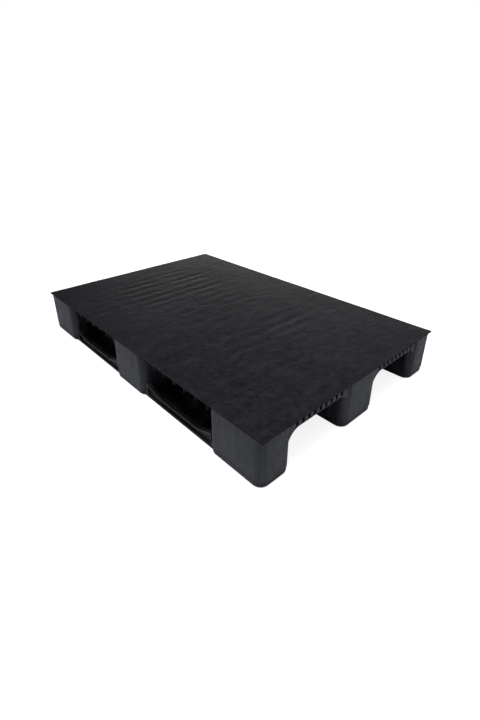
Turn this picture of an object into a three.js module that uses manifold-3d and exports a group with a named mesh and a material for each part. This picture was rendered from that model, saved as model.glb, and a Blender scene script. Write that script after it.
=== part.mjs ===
// A closed-deck plastic pallet on nine legs and three runners, 1200 x 800 mm.
//
// Frame: X along the length, Y along the width, Z up, origin on the floor under the middle.
// "front" is the +X end, "left" is the -Y side. All sizes are in millimetres.

import * as THREE from 'three';
import { mergeVertices } from 'three/addons/utils/BufferGeometryUtils.js';
import Module from 'manifold-3d';

// ---------------------------------------------------------------- driving dimensions

const LENGTH = 1200;
const WIDTH = 800;
const HEIGHT = 150;
const FIT = 0.3;                    // clearance between pieces that touch

const SHEET = 5;                    // thickness of the closed top sheet
const SHEET_EDGE = 0.8;             // chamfer round its edges

const GRID_DEPTH = 23;              // depth of the ribbed grid under the sheet
const GRID_INSET = 5.6;             // the grid's ends and sides, in from the sheet's edge
const GRID_RIM = 5;                 // thickness of its end walls
const CROSS_RIB = 4;                // ribs along Y
const LONG_RIB = 5;                 // ribs along X
const CELLS_ALONG = 24;             // cells between the two end walls
const SIDE_RIM = 22;                // the grid's side rims, in from the sheet's edge
const COMB_INSET = 9;               // rib ends under the sheet's long edges, in from them

const SLOTS = 9;                    // slots in each end beam
const SLOT_PITCH = 22.6;
const SLOT_WIDTH = 10;
const SLOT_TOP = 8;                 // below the top of the sheet
const SLOT_DEPTH = 9;               // the slots are blind
const SLOT_SILL = 3;                // what is left of the end beam under a slot
const END_BEAM = 13;                // thickness of an end beam where it has slots
const HAUNCH = 41;                  // radius of the arch between an end beam and a leg
const HAUNCH_CENTRE = 80;           // from the middle of the opening to the arch's centre
const HAUNCH_PLATE = 5;             // thickness of the end beam's haunches

const LEG_INSET = 0.5;              // leg faces, in from the sheet's edge
const LEG_CORNER = 27;              // radius of the legs' upright corners
const LEG_WALL = 5;
const LEG_FLOOR = 5;
const LEG_RIB = 4;
const END_LEG = 195;                // length of the legs at the two ends, along X
const MIDDLE_LEG = 184;             // length of the legs halfway, along X
const SIDE_LEG = 106.5;             // width of the legs on the two long sides, along Y
const CENTRE_LEG = 152;             // width of the legs in the middle row, along Y

const PAD = 20;                     // height of a runner's foot pads, up to the legs
const PAD_INSET = 2;                // pad ends, in from the ends of the legs
const PAD_ROUND = 8;                // rounding of the pads' lower edges
const SHELL = 6;                    // wall and floor thickness of a runner
const STRAP = 29;                   // height of a runner between its pads
const STRAP_INSET = 10.5;           // strap sides, in from the faces of the legs
const STRAP_SIDE = 12;              // thickness of a strap's sides at the lip and the foot
const STRAP_LIP = 4;                // height of the lip along a strap's top edge
const STRAP_FOOT = 6;               // height of its foot
const RAMP = 57;                    // length of the ramp from a strap up to a leg
const RAMP_TOP = 49;                // height of the ramp where it meets the leg
const STRAP_RIBS = 3;               // cross ribs between two pads
const STRAP_RIB = 5;
const GROOVE = 8;                   // depth of the groove between lip and foot
const GROOVE_END = 3;               // from the groove's ends to the legs

const SCREW_SPACING = 104;          // between the two screws of a leg, along X
const SCREW_SHANK = 3;              // radius
const SCREW_HEAD = 6.5;             // radius
const SCREW_SEAT = 4;               // the head's seat, above the floor
const SCREW_RECESS = 0.6;           // the head's face, above the floor
const SCREW_LENGTH = 38;
const SCREW_TIP = 3;
const BOSS = 9;                     // radius of the screw bosses
const BOSS_TOP = 52;                // height of the bosses inside a leg

const ARC_STEPS = 2;                // curveSegments: an arc gets twice as many steps
const WELD = 1e-4;                  // points this close are one point
const ROUND_STEPS = 8;              // sides of screws, bosses and holes
const PAD_STEPS = 2;                // steps in the pads' lower rounding
const PAST = 1;                     // how far a cutting body runs past what it cuts
const FLATNESS = 0.01;              // faces this flat are merged

// ---------------------------------------------------------------- levels and places

const SHEET_BOTTOM = HEIGHT - SHEET;
const GRID_TOP = SHEET_BOTTOM - FIT;
const GRID_BOTTOM = GRID_TOP - GRID_DEPTH;
const GRID_X = LENGTH / 2 - GRID_INSET;
const GRID_Y = WIDTH / 2 - GRID_INSET;
const LEG_BOTTOM = PAD + FIT;
const FACE_X = LENGTH / 2 - LEG_INSET;
const FACE_Y = WIDTH / 2 - LEG_INSET;
const BAY_Y = (FACE_Y - SIDE_LEG + CENTRE_LEG / 2) / 2;   // middle of an end opening

const COLUMNS = {
  rear: [-FACE_X, -FACE_X + END_LEG],
  middle: [-MIDDLE_LEG / 2, MIDDLE_LEG / 2],
  front: [FACE_X - END_LEG, FACE_X],
};
const ROWS = {
  left: [-FACE_Y, -FACE_Y + SIDE_LEG],
  centre: [-CENTRE_LEG / 2, CENTRE_LEG / 2],
  right: [FACE_Y - SIDE_LEG, FACE_Y],
};

// ---------------------------------------------------------------- materials

const blackPlastic = new THREE.MeshStandardMaterial({ color: 0x2b2c2f, roughness: 0.62, metalness: 0 });
const sheetPlastic = new THREE.MeshStandardMaterial({ color: 0x242527, roughness: 0.5, metalness: 0 });
const zincSteel = new THREE.MeshStandardMaterial({ color: 0x9a9c9e, roughness: 0.4, metalness: 1 });

// ---------------------------------------------------------------- solids

const wasm = await Module();
wasm.setup();

function solidOf(geometry) {
  const bare = geometry.clone();
  bare.deleteAttribute('normal');
  bare.deleteAttribute('uv');
  const merged = mergeVertices(bare, WELD);
  return new wasm.Manifold(new wasm.Mesh({
    numProp: 3,
    vertProperties: new Float32Array(merged.attributes.position.array),
    triVerts: new Uint32Array(merged.index.array),
  }));
}

function meshOf(name, solid, material) {
  const { vertProperties, triVerts } = solid.asOriginal().simplify(FLATNESS).getMesh();
  const geometry = new THREE.BufferGeometry();
  geometry.setAttribute('position', new THREE.BufferAttribute(new Float32Array(vertProperties), 3));
  geometry.setIndex(new THREE.BufferAttribute(new Uint32Array(triVerts), 1));
  geometry.computeVertexNormals();
  const mesh = new THREE.Mesh(geometry, material);
  mesh.name = name;
  return mesh;
}

function box(x0, x1, y0, y1, z0, z1) {
  const geometry = new THREE.BoxGeometry(x1 - x0, y1 - y0, z1 - z0);
  geometry.translate((x0 + x1) / 2, (y0 + y1) / 2, (z0 + z1) / 2);
  return solidOf(geometry);
}

function cylinder(x, y, radius, z0, z1) {
  const geometry = new THREE.CylinderGeometry(radius, radius, z1 - z0, ROUND_STEPS);
  geometry.rotateX(Math.PI / 2);
  geometry.translate(x, y, (z0 + z1) / 2);
  return solidOf(geometry);
}

function rectangle(x0, x1, y0, y1) {
  const shape = new THREE.Shape();
  shape.moveTo(x0, y0);
  shape.lineTo(x1, y0);
  shape.lineTo(x1, y1);
  shape.lineTo(x0, y1);
  shape.closePath();
  return shape;
}

function roundedRectangle(x0, x1, y0, y1, radius) {
  const shape = new THREE.Shape();
  shape.absarc(x1 - radius, y0 + radius, radius, -Math.PI / 2, 0);
  shape.absarc(x1 - radius, y1 - radius, radius, 0, Math.PI / 2);
  shape.absarc(x0 + radius, y1 - radius, radius, Math.PI / 2, Math.PI);
  shape.absarc(x0 + radius, y0 + radius, radius, Math.PI, 1.5 * Math.PI);
  shape.closePath();
  return shape;
}

// A shape in the XY plane as an upright prism between two heights.
function prism(shape, z0, z1) {
  const geometry = new THREE.ExtrudeGeometry(shape, {
    depth: z1 - z0,
    bevelEnabled: false,
    curveSegments: ARC_STEPS,
  });
  geometry.translate(0, 0, z0);
  return solidOf(geometry);
}

// A shape drawn with its height as Y, as a plate standing across X between x0 and x1.
function plateAcrossX(shape, x0, x1) {
  const geometry = new THREE.ExtrudeGeometry(shape, {
    depth: x1 - x0,
    bevelEnabled: false,
    curveSegments: ARC_STEPS,
  });
  geometry.rotateX(Math.PI / 2);
  geometry.rotateZ(Math.PI / 2);
  geometry.translate(x0, 0, 0);
  return solidOf(geometry);
}

// A shape drawn with its height as Y, as a plate standing along X between y0 and y1.
function plateAlongX(shape, y0, y1) {
  const geometry = new THREE.ExtrudeGeometry(shape, { depth: y1 - y0, bevelEnabled: false });
  geometry.rotateX(Math.PI / 2);
  geometry.translate(0, y1, 0);
  return solidOf(geometry);
}

function union(solids) {
  return solids.reduce((sum, solid) => sum.add(solid));
}

function screwPlaces([x0, x1], [y0, y1]) {
  const x = (x0 + x1) / 2;
  const y = (y0 + y1) / 2;
  return [[x - SCREW_SPACING / 2, y], [x + SCREW_SPACING / 2, y]];
}

// ---------------------------------------------------------------- top sheet

function deckSheet() {
  const size = SHEET_EDGE;
  const shape = rectangle(-LENGTH / 2 + size, LENGTH / 2 - size, -WIDTH / 2 + size, WIDTH / 2 - size);
  const geometry = new THREE.ExtrudeGeometry(shape, {
    depth: SHEET - 2 * size,
    bevelThickness: size,
    bevelSize: size,
    bevelSegments: 1,
  });
  geometry.translate(0, 0, SHEET_BOTTOM + size);
  return meshOf('deck_sheet', solidOf(geometry), sheetPlastic);
}

// ---------------------------------------------------------------- ribbed grid

// Middles of the ribs that run along X: over the legs' walls and halfway between them.
function longRibLines() {
  const half = [CENTRE_LEG / 2, BAY_Y, FACE_Y - SIDE_LEG];
  return [...half.map((y) => -y), 0, ...half];
}

// Middles of the ribs that run along Y, evenly between the two end walls.
function crossRibLines() {
  const span = 2 * (GRID_X - GRID_RIM) + CROSS_RIB;
  const pitch = span / CELLS_ALONG;
  return Array.from({ length: CELLS_ALONG - 1 }, (_, i) => (i + 1) * pitch - span / 2);
}

function gridRibs() {
  const near = MIDDLE_LEG / 2;
  const far = COLUMNS.front[0];
  const comb = WIDTH / 2 - COMB_INSET;
  const rim = WIDTH / 2 - SIDE_RIM;
  const ribs = [];
  for (const y of longRibLines()) {
    ribs.push(box(-GRID_X, GRID_X, y - LONG_RIB / 2, y + LONG_RIB / 2, GRID_BOTTOM, GRID_TOP));
  }
  for (const x of crossRibLines()) {
    const inOpening = Math.abs(x) > near && Math.abs(x) < far;
    const reach = inOpening ? comb : GRID_Y;
    ribs.push(box(x - CROSS_RIB / 2, x + CROSS_RIB / 2, -reach, reach, GRID_BOTTOM, GRID_TOP));
  }
  for (const side of [-1, 1]) {
    const [end0, end1] = [side * (GRID_X - GRID_RIM), side * GRID_X].sort((a, b) => a - b);
    const [rim0, rim1] = [side * (rim - LONG_RIB), side * rim].sort((a, b) => a - b);
    ribs.push(box(end0, end1, -GRID_Y, GRID_Y, GRID_BOTTOM, GRID_TOP));
    ribs.push(box(-GRID_X, GRID_X, rim0, rim1, GRID_BOTTOM, GRID_TOP));
  }
  return ribs;
}

// One haunch of an end beam, drawn for the opening on the +Y side.
function haunchShape(towardsCentre) {
  const side = towardsCentre ? -1 : 1;
  const centre = BAY_Y + side * HAUNCH_CENTRE;
  const centreZ = GRID_BOTTOM - HAUNCH;
  const hidden = centre + side * (HAUNCH + LEG_CORNER / 2);
  const shape = new THREE.Shape();
  shape.moveTo(centre, GRID_BOTTOM + PAST);
  shape.lineTo(centre, GRID_BOTTOM);
  shape.absarc(centre, centreZ, HAUNCH, Math.PI / 2, side > 0 ? 0 : Math.PI, side > 0);
  shape.lineTo(hidden, centreZ);
  shape.lineTo(hidden, GRID_BOTTOM + PAST);
  shape.closePath();
  return shape;
}

// The block the grid fills, grown by margin. Its corners share their centres with the legs'.
function gridBody(margin, bottom = -PAST) {
  const x = GRID_X + margin;
  const y = GRID_Y + margin;
  const radius = LEG_CORNER - (FACE_X - x);
  return prism(roundedRectangle(-x, x, -y, y, radius), bottom, GRID_TOP + PAST);
}

function mirroredShape(shape) {
  const points = shape.getPoints(ARC_STEPS).map(({ x, y }) => new THREE.Vector2(-x, y));
  return new THREE.Shape(points);
}

function deckGrid() {
  const haunches = [];
  for (const towardsCentre of [true, false]) {
    const shape = haunchShape(towardsCentre);
    for (const drawn of [shape, mirroredShape(shape)]) {
      haunches.push(plateAcrossX(drawn, GRID_X - HAUNCH_PLATE, GRID_X));
      haunches.push(plateAcrossX(drawn, -GRID_X, -GRID_X + HAUNCH_PLATE));
    }
  }
  const beams = [];
  const cuts = [];
  for (const column of ['front', 'rear']) {
    for (const row of Object.values(ROWS)) {
      cuts.push(prism(legOutline(COLUMNS[column], row, -FIT), -PAST, GRID_BOTTOM));
    }
  }
  for (const end of [-1, 1]) {
    const beamXs = [end * (GRID_X - END_BEAM), end * GRID_X].sort((a, b) => a - b);
    const slotXs = [end * (GRID_X - SLOT_DEPTH), end * (GRID_X + PAST)].sort((a, b) => a - b);
    for (const bay of [-1, 1]) {
      const half = SLOTS * SLOT_PITCH / 2;
      beams.push(box(...beamXs, bay * BAY_Y - half, bay * BAY_Y + half, GRID_BOTTOM, GRID_TOP));
      for (let i = 0; i < SLOTS; i += 1) {
        const y = bay * BAY_Y + (i - (SLOTS - 1) / 2) * SLOT_PITCH;
        cuts.push(box(...slotXs, y - SLOT_WIDTH / 2, y + SLOT_WIDTH / 2,
          GRID_BOTTOM + SLOT_SILL, HEIGHT - SLOT_TOP));
      }
    }
  }
  const solid = union([...gridRibs(), ...beams, ...haunches]).intersect(gridBody(0))
    .subtract(union(cuts));
  return meshOf('deck_grid', solid, blackPlastic);
}

// ---------------------------------------------------------------- legs

function legOutline([x0, x1], [y0, y1], inset) {
  return roundedRectangle(x0 + inset, x1 - inset, y0 + inset, y1 - inset, LEG_CORNER - inset);
}

// The room for a leg's rounded corners beside the openings of the long sides. They run up to the
// sheet, outside the grid's rims.
function openCorners([x0, x1]) {
  const corners = [];
  for (const [end, inward] of [[x0, 1], [x1, -1]]) {
    const xs = [end - inward * PAST, end + inward * LEG_CORNER].sort((a, b) => a - b);
    for (const side of Math.abs(end) < GRID_X ? [-1, 1] : []) {
      const ys = [side * (WIDTH / 2 - SIDE_RIM + FIT), side * (WIDTH / 2)].sort((a, b) => a - b);
      corners.push(box(...xs, ...ys, 0, HEIGHT));
    }
  }
  return union(corners);
}

// A hollow leg, open at its top. Its outer faces run up to the sheet and cover the grid's
// edge, and its other walls stop under the grid.
function leg(column, row) {
  const [x0, x1] = COLUMNS[column];
  const [y0, y1] = ROWS[row];
  const x = (x0 + x1) / 2;
  const y = (y0 + y1) / 2;
  const floorTop = LEG_BOTTOM + LEG_FLOOR;
  const wallTop = GRID_BOTTOM - FIT;
  const outer = prism(legOutline(COLUMNS[column], ROWS[row], 0), LEG_BOTTOM, GRID_TOP);
  const cavity = prism(legOutline(COLUMNS[column], ROWS[row], LEG_WALL), floorTop, GRID_TOP + PAST);
  const gridRoom = gridBody(FIT, wallTop).subtract(openCorners(COLUMNS[column]));
  const places = screwPlaces(COLUMNS[column], ROWS[row]);
  const inside = [
    box(x0 + LEG_WALL / 2, x1 - LEG_WALL / 2, y - LEG_RIB / 2, y + LEG_RIB / 2, LEG_BOTTOM, wallTop),
    box(x - LEG_RIB / 2, x + LEG_RIB / 2, y0 + LEG_WALL / 2, y1 - LEG_WALL / 2, LEG_BOTTOM, wallTop),
    ...places.map(([px, py]) => cylinder(px, py, BOSS, LEG_BOTTOM, BOSS_TOP)),
  ];
  const holes = places.map(([px, py]) => (
    cylinder(px, py, SCREW_SHANK + FIT, 0, SCREW_SEAT + SCREW_LENGTH + FIT)
  ));
  const solid = outer.subtract(cavity).subtract(gridRoom).add(union(inside)).subtract(union(holes));
  return meshOf(`leg_${column}_${row}`, solid, blackPlastic);
}

// ---------------------------------------------------------------- runners

// A foot pad: a ribbed tray with a rounded lower edge that carries one leg.
function pad([x0, x1], [y0, y1]) {
  const xs = [x0 + PAD_INSET, x1 - PAD_INSET];
  const geometry = new THREE.ExtrudeGeometry(legOutline(xs, [y0, y1], PAD_ROUND), {
    depth: PAD,
    bevelThickness: PAD_ROUND,
    bevelSize: PAD_ROUND,
    bevelSegments: PAD_STEPS,
    curveSegments: ARC_STEPS,
  });
  geometry.translate(0, 0, PAD_ROUND);
  const above = box(x0 - PAST, x1 + PAST, y0 - PAST, y1 + PAST, PAD, HEIGHT);
  const pocket = prism(legOutline(xs, [y0, y1], SHELL + PAD_ROUND / 2), SHELL, PAD + PAST);
  const x = (x0 + x1) / 2;
  const y = (y0 + y1) / 2;
  const kept = [
    box(x0, x1, y - LEG_RIB / 2, y + LEG_RIB / 2, 0, PAD + PAST),
    box(x - LEG_RIB / 2, x + LEG_RIB / 2, y0, y1, 0, PAD + PAST),
    ...screwPlaces([x0, x1], [y0, y1]).map(([px, py]) => cylinder(px, py, BOSS, 0, PAD + PAST)),
  ];
  return solidOf(geometry).subtract(above).subtract(pocket.subtract(union(kept)));
}

// The side wall of a strap, with a ramp up to the leg at each end.
function strapWall(xa, xb) {
  const under = PAD_INSET + LEG_CORNER / 2;
  return new THREE.Shape([
    [xa - under, 0], [xb + under, 0], [xb + under, PAD], [xb, PAD], [xb, RAMP_TOP],
    [xb - RAMP, STRAP], [xa + RAMP, STRAP], [xa, RAMP_TOP], [xa, PAD], [xa - under, PAD],
  ].map(([x, z]) => new THREE.Vector2(x, z)));
}

// The groove in a strap's side, between its foot and the lip that follows its top edge.
function strapGroove(xa, xb) {
  const high = RAMP_TOP - STRAP_LIP - GROOVE_END;
  return new THREE.Shape([
    [xa + GROOVE_END, STRAP_FOOT], [xb - GROOVE_END, STRAP_FOOT], [xb - GROOVE_END, high],
    [xb - RAMP, STRAP - STRAP_LIP], [xa + RAMP, STRAP - STRAP_LIP], [xa + GROOVE_END, high],
  ].map(([x, z]) => new THREE.Vector2(x, z)));
}

// The channel between two pads: a floor, two grooved side walls and the ribs across it.
function strap(xa, xb, [y0, y1]) {
  const left = y0 + STRAP_INSET;
  const right = y1 - STRAP_INSET;
  const wall = strapWall(xa + FIT, xb - FIT);
  const under = PAD_INSET + SHELL / 2;
  const parts = [
    plateAlongX(wall, left, left + STRAP_SIDE),
    plateAlongX(wall, right - STRAP_SIDE, right),
    box(xa - under, xb + under, left + SHELL / 2, right - SHELL / 2, 0, SHELL),
  ];
  const pitch = (xb - xa) / (STRAP_RIBS + 1);
  for (let i = 1; i <= STRAP_RIBS; i += 1) {
    const x = xa + i * pitch;
    parts.push(box(x - STRAP_RIB / 2, x + STRAP_RIB / 2,
      left + STRAP_SIDE - PAST, right - STRAP_SIDE + PAST, 0, STRAP - STRAP_SIDE));
  }
  const groove = strapGroove(xa, xb);
  const grooves = [
    plateAlongX(groove, left - PAST, left + GROOVE),
    plateAlongX(groove, right - GROOVE, right + PAST),
  ];
  return union(parts).subtract(union(grooves));
}

function runner(row) {
  const parts = Object.values(COLUMNS).map((column) => pad(column, ROWS[row]));
  parts.push(strap(COLUMNS.rear[1], COLUMNS.middle[0], ROWS[row]));
  parts.push(strap(COLUMNS.middle[1], COLUMNS.front[0], ROWS[row]));
  const holes = [];
  for (const column of Object.values(COLUMNS)) {
    for (const [x, y] of screwPlaces(column, ROWS[row])) {
      holes.push(cylinder(x, y, SCREW_HEAD + 2 * FIT, -PAST, SCREW_SEAT));
      holes.push(cylinder(x, y, SCREW_SHANK + FIT, -PAST, PAD + PAST));
    }
  }
  return meshOf(`runner_${row}`, union(parts).subtract(union(holes)), blackPlastic);
}

// ---------------------------------------------------------------- screws

// A flanged self-tapping screw, driven up through a foot pad into a leg.
function screw(name, x, y) {
  const seat = SCREW_SEAT - FIT;
  const top = seat + SCREW_LENGTH - FIT;
  const profile = [
    [0, SCREW_RECESS], [SCREW_HEAD - 1, SCREW_RECESS], [SCREW_HEAD, seat], [SCREW_SHANK, seat],
    [SCREW_SHANK, top - SCREW_TIP], [0, top],
  ].map(([radius, z]) => new THREE.Vector2(radius, z));
  const geometry = new THREE.LatheGeometry(profile, ROUND_STEPS);
  geometry.rotateX(Math.PI / 2);
  geometry.translate(x, y, 0);
  return meshOf(name, solidOf(geometry), zincSteel);
}

// ---------------------------------------------------------------- assembly

const group = new THREE.Group();
group.add(deckSheet());
group.add(deckGrid());
for (const row of Object.keys(ROWS)) {
  group.add(runner(row));
  for (const column of Object.keys(COLUMNS)) {
    group.add(leg(column, row));
    screwPlaces(COLUMNS[column], ROWS[row]).forEach(([x, y], i) => {
      group.add(screw(`screw_${column}_${row}_${i + 1}`, x, y));
    });
  }
}

export default group;
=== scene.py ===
"""A closed-deck plastic pallet of black recycled plastic, on a pale floor under soft light.

Frame: X along the 1200 mm length, Y along the 800 mm width, Z up, origin on the floor under
the middle. "front" is the +X end and "left" the -Y side. Shapes are worked out in millimetres
and turned into metres when their meshes are made.
"""

import math
import random

import bmesh
import bpy
from mathutils import Matrix, Vector, noise


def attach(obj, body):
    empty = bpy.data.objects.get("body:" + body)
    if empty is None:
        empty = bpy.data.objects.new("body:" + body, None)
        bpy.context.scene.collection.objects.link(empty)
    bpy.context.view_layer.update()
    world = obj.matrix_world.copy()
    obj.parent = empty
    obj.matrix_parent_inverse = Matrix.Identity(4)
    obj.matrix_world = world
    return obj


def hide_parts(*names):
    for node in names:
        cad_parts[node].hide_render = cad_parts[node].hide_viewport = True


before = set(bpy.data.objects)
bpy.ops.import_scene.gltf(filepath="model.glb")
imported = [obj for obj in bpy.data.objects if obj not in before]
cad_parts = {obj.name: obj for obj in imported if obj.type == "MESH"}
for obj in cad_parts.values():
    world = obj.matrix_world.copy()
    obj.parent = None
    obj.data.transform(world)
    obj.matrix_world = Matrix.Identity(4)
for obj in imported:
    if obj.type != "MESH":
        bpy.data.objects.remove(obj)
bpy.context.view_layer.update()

# ---------------------------------------------------------------- sizes of the pallet, in mm

MM = 0.001
LENGTH = 1200
WIDTH = 800
HEIGHT = 150
FIT = 0.3                  # gap between pieces that touch

SHEET = 5                  # thickness of the top sheet
SHEET_CELL = 4             # spacing of the points that shape its surface
SHEET_EDGE = 0.5           # rounding of its edges
SAG = 0.95                 # usual sag of the sheet between two ribs, where it sags most
SAG_ZONES = [(-285, 1.0), (215, 0.65)]  # middle, along X, and weight of the zones that sag most
SAG_REACH = 165            # how far a zone reaches
SAG_OUTSIDE_ZONES = 0.14   # weight of the sag away from the zones
PANEL = 195                # width of the panels that sag, on each side of the middle
SAG_OUTSIDE_PANELS = 0.15
USUAL_SAG = 0.80           # the sag varies about this from patch to patch
LEAST_SAG = 0.15
LEVEL = 0.35               # the sheet's usual level, under its highest
DEEPEST = 2.0              # the lowest its face may lie, under its highest

# Layers of smooth noise over the sheet: height, size along X, size along Y, seed.
SAG_SHIFTS = [(5, 200, 260, 3.1), (3, 70, 90, 8.4)]
SAG_PATCHES = [(1.0, 90, 120, 5.7)]
UNEVENNESS = [(0.22, 46, 70, 1.2), (0.12, 19, 30, 6.6), (0.04, 9, 12, 4.1), (0.45, 150, 170, 9.9)]

# Rings that round the sheet's top edge: how far out, as a part of SHEET_EDGE, and how far down.
EDGE_RINGS = [(0.35, 0.3), (0.75, 0.75), (1.0, 0.7)]
UNDERSIDE_OUT = 0.5        # how far out the underside reaches, as a part of SHEET_EDGE

GRID_TOP = HEIGHT - SHEET - FIT
GRID_DEPTH = 23
GRID_BOTTOM = GRID_TOP - GRID_DEPTH
SHALLOW_DEPTH = 13         # depth of the thin ribs between the deep ones
SHALLOW_BOTTOM = GRID_TOP - SHALLOW_DEPTH
GRID_X = 594.4             # half the grid's length
GRID_Y = 394.4             # half its width over the legs
END_WALL = 5               # thickness of its end walls
CROSS_RIB = 4              # ribs along Y
LONG_RIB = 5               # ribs along X
THIN_RIB = 2.6             # shallow ribs along X
CELLS_ALONG = 24           # cells between the two end walls
RIB_SPAN = 2 * (GRID_X - END_WALL) + CROSS_RIB
RIB_PITCH = RIB_SPAN / CELLS_ALONG
SIDE_RIM = 378             # outer face of the side rims
RIM_SHIFT = 8              # keeps the outermost thin ribs clear of those rims
COMB = 391                 # ends of the cross ribs over the openings
COMB_END = 1.6             # thickness of those ends, which are tapered

SLOTS = 9                  # slots in each end beam
SLOT_PITCH = 22.6
SLOT_WIDTH = 10
SLOT_DROP = 8              # from the top of the sheet down to the slots
SLOT_SILL = 3              # what is left of the end beam under a slot
SLOT_DEPTH = 9             # the slots are blind
END_BEAM = 13              # thickness of an end beam where it has slots
HAUNCH = 41                # radius of the arch between an end beam and a leg
HAUNCH_CENTRE = 80         # from the middle of the opening to the arch's centre
HAUNCH_PLATE = 5           # thickness of the haunches

FACE_X = 599.5             # outer faces of the legs
FACE_Y = 399.5
END_LEG = 195              # length of the legs at the two ends, along X
MIDDLE_LEG = 184           # length of the legs halfway, along X
SIDE_LEG = 106.5           # width of the legs on the two long sides, along Y
CENTRE_LEG = 152           # width of the legs in the middle row, along Y
PAD = 20                   # height of the runners' pads, on which the legs stand
LEG_BOTTOM = PAD + FIT
LEG_CORNER = 27            # radius of the legs' upright corners
LEG_WALL = 5
LEG_RIB = 4
LEG_SOFT = 1.2             # rounding of a leg's lower edge
LEG_SOFT_HALFWAY = 0.35    # how far in it is halfway round
BAY_Y = (FACE_Y - SIDE_LEG + CENTRE_LEG / 2) / 2  # middle of the openings at the two ends

PAD_INSET = 2              # pad ends, in from the ends of the legs
PAD_ROUND = 8              # rounding of the pads' lower edges
PAD_CHAMFER = 0.8          # chamfer round their tops
PAD_GAP = 0.05             # between a pad's top and its ribs, and between those and its bosses
SHELL = 6                  # wall and floor thickness of a runner
STRAP = 29                 # height of a runner between its pads
STRAP_INSET = 10.5         # strap sides, in from the faces of the legs
STRAP_SIDE = 12            # thickness of a strap's sides at the lip and the foot
STRAP_LIP = 4              # height of the lip along a strap's top edge
STRAP_FOOT = 6             # height of its foot
RAMP = 57                  # length of the ramp from a strap up to a leg
RAMP_TOP = 49              # height of the ramp where it meets the leg
RAMP_EASE = 0.25           # part of the ramp's length over which its foot is rounded, each way
STRAP_RIBS = 3             # cross ribs between two pads
STRAP_RIB = 5
STRAP_RIB_TOP = 17
GROOVE = 8                 # depth of the groove between lip and foot
GROOVE_END = 3             # from the groove's ends to the legs

SCREW_SPACING = 104        # between the two screws of a leg, along X
SCREW_SHANK = 3            # radius
SCREW_CORE = 2.1           # radius under the thread
SCREW_NECK = 2.4           # radius under the head
NECK_LENGTH = 0.3
SCREW_TIP = 0.25           # radius
SCREW_HEAD = 6.5           # radius
SCREW_SEAT = 4             # the head's seat, above the floor
SCREW_RECESS = 0.6         # the head's face, above the floor
SCREW_DOME = [(0.3, 0), (4.2, 0), (5.6, 0.35), (6.3, 1.1), (SCREW_HEAD, 1.9)]  # radius, depth
SCREW_CHAMFER = 0.2        # of the head's rim at its seat
SCREW_LENGTH = 38
SCREW_PITCH = 3
SCREW_POINT = 5            # length of the point
THREAD_START = 1           # where the thread starts, over the seat
THREAD_END = 6             # where it ends, under the top
THREAD_PLAY = 0.1          # how far its crests and the tip stay inside the shank's size
CROSS_REACH = 2.9          # half the length of the slots of the cross recess
CROSS_HALF = 0.65          # half their width
CROSS_TOP = 2.6            # how far up they go
SCREW_SEED = 7             # for how far each screw is turned
BOSS = 9                   # radius of the screw bosses
BOSS_TOP = 52              # height of the bosses inside a leg

CORNER_STEPS = 14          # flats in a leg's rounded corner
ARCH_STEPS = 28            # in a haunch
ROUND_STEPS = 32           # round a screw or a boss
PAD_STEPS = 6              # in the rounding of a pad's lower edge
RAMP_STEPS = 8             # in the rounded foot of a ramp
SOFT_EDGE = 0.7            # rounding of moulded edges
PAST = 1                   # how far a cutting body runs past what it cuts
OVERLAP = 5                # how deep the ribs across a strap start inside its floor
LEAST_RADIUS = 0.2         # of the corners of an outline that is moved in
TINY = 0.01                # within this, a point counts as lying on a plane

SHARP = math.radians(35)   # faces that meet at more than this keep a sharp edge
SOFTENED = math.radians(40)  # edges sharper than this are rounded
UPRIGHT = 0.5              # a face is upright where its normal's Z is smaller

COLUMNS = {
    "rear": (-FACE_X, -FACE_X + END_LEG),
    "middle": (-MIDDLE_LEG / 2, MIDDLE_LEG / 2),
    "front": (FACE_X - END_LEG, FACE_X),
}
ROWS = {
    "left": (-FACE_Y, -FACE_Y + SIDE_LEG),
    "centre": (-CENTRE_LEG / 2, CENTRE_LEG / 2),
    "right": (FACE_Y - SIDE_LEG, FACE_Y),
}

# ---------------------------------------------------------------- mesh helpers


def mesh_from(points, faces):
    mesh = bpy.data.meshes.new("shape")
    mesh.from_pydata([(x * MM, y * MM, z * MM) for x, y, z in points], [], faces)
    mesh.update()
    return mesh


def joined(meshes):
    """Several separate closed meshes as one."""
    points, faces = [], []
    for mesh in meshes:
        start = len(points)
        points += [tuple(v.co / MM) for v in mesh.vertices]
        faces += [tuple(start + i for i in polygon.vertices) for polygon in mesh.polygons]
        bpy.data.meshes.remove(mesh)
    return mesh_from(points, faces)


def box(x0, x1, y0, y1, z0, z1):
    points = [(x, y, z) for z in (z0, z1) for x, y in ((x0, y0), (x1, y0), (x1, y1), (x0, y1))]
    faces = [(3, 2, 1, 0), (4, 5, 6, 7)]
    faces += [(i, (i + 1) % 4, 4 + (i + 1) % 4, 4 + i) for i in range(4)]
    return mesh_from(points, faces)


def loft(rings):
    """A closed solid through rings of equally many points, each ring counterclockwise from above."""
    count = len(rings[0])
    points = [point for ring in rings for point in ring]
    faces = [tuple(reversed(range(count)))]
    for level in range(len(rings) - 1):
        a, b = level * count, (level + 1) * count
        faces += [(a + i, a + (i + 1) % count, b + (i + 1) % count, b + i) for i in range(count)]
    last = (len(rings) - 1) * count
    faces.append(tuple(range(last, last + count)))
    return mesh_from(points, faces)


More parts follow.
